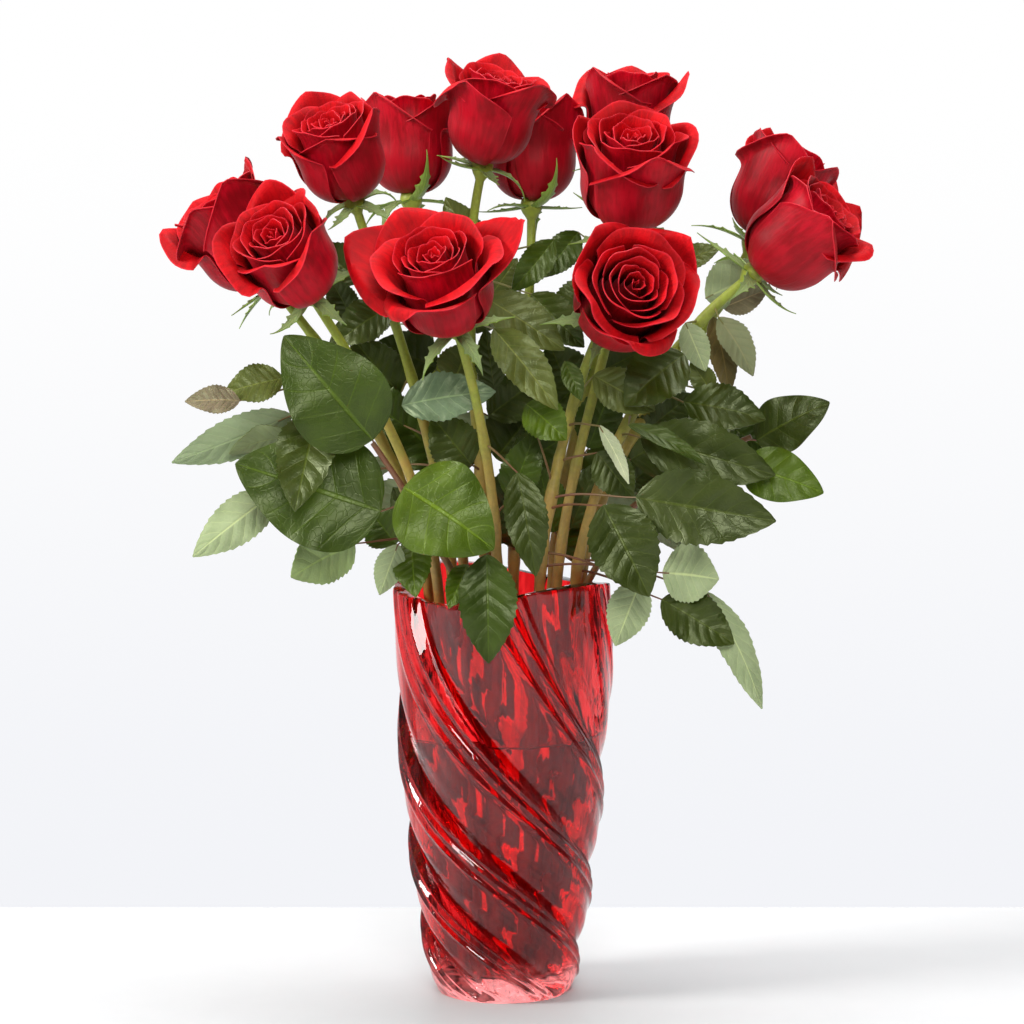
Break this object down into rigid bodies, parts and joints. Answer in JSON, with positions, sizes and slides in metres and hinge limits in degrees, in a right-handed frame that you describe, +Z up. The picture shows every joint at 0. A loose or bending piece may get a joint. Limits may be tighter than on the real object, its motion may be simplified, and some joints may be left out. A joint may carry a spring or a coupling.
{
  "type": "vase of roses",
  "caption": "Tapered, spirally ribbed glass vase of water holding a full bouquet of open long-stemmed roses with leafy stems and broad-leaved greenery.",
  "frame": {"origin": "centre of the vase's flat base, on the surface it stands on", "axes": "+Z up; the bouquet's front faces -Y and its left is -X"},
  "size_m": [0.3799, 0.2245, 0.5272],
  "materials": {
    "ruby_glass": "gloss",
    "water": "gloss",
    "petals": "satin",
    "rose_greens": "satin",
    "broad_leaves": "gloss"
  },
  "bodies": {
    "root": {"vase": "ruby_glass", "water": "water", "rose_01_bloom": "petals", "rose_02_bloom": "petals", "rose_03_bloom": "petals", "rose_04_bloom": "petals", "rose_05_bloom": "petals", "rose_06_bloom": "petals", "rose_07_bloom": "petals", "rose_08_bloom": "petals", "rose_09_bloom": "petals", "rose_10_bloom": "petals", "rose_11_bloom": "petals", "rose_12_bloom": "petals", "rose_01_stem": "rose_greens", "rose_02_stem": "rose_greens", "rose_03_stem": "rose_greens", "rose_04_stem": "rose_greens", "rose_05_stem": "rose_greens", "rose_06_stem": "rose_greens", "rose_07_stem": "rose_greens", "rose_08_stem": "rose_greens", "rose_09_stem": "rose_greens", "rose_10_stem": "rose_greens", "rose_11_stem": "rose_greens", "rose_12_stem": "rose_greens", "broad_leaf_spray_1": "broad_leaves", "broad_leaf_spray_2": "broad_leaves"}
  },
  "joints": []
}
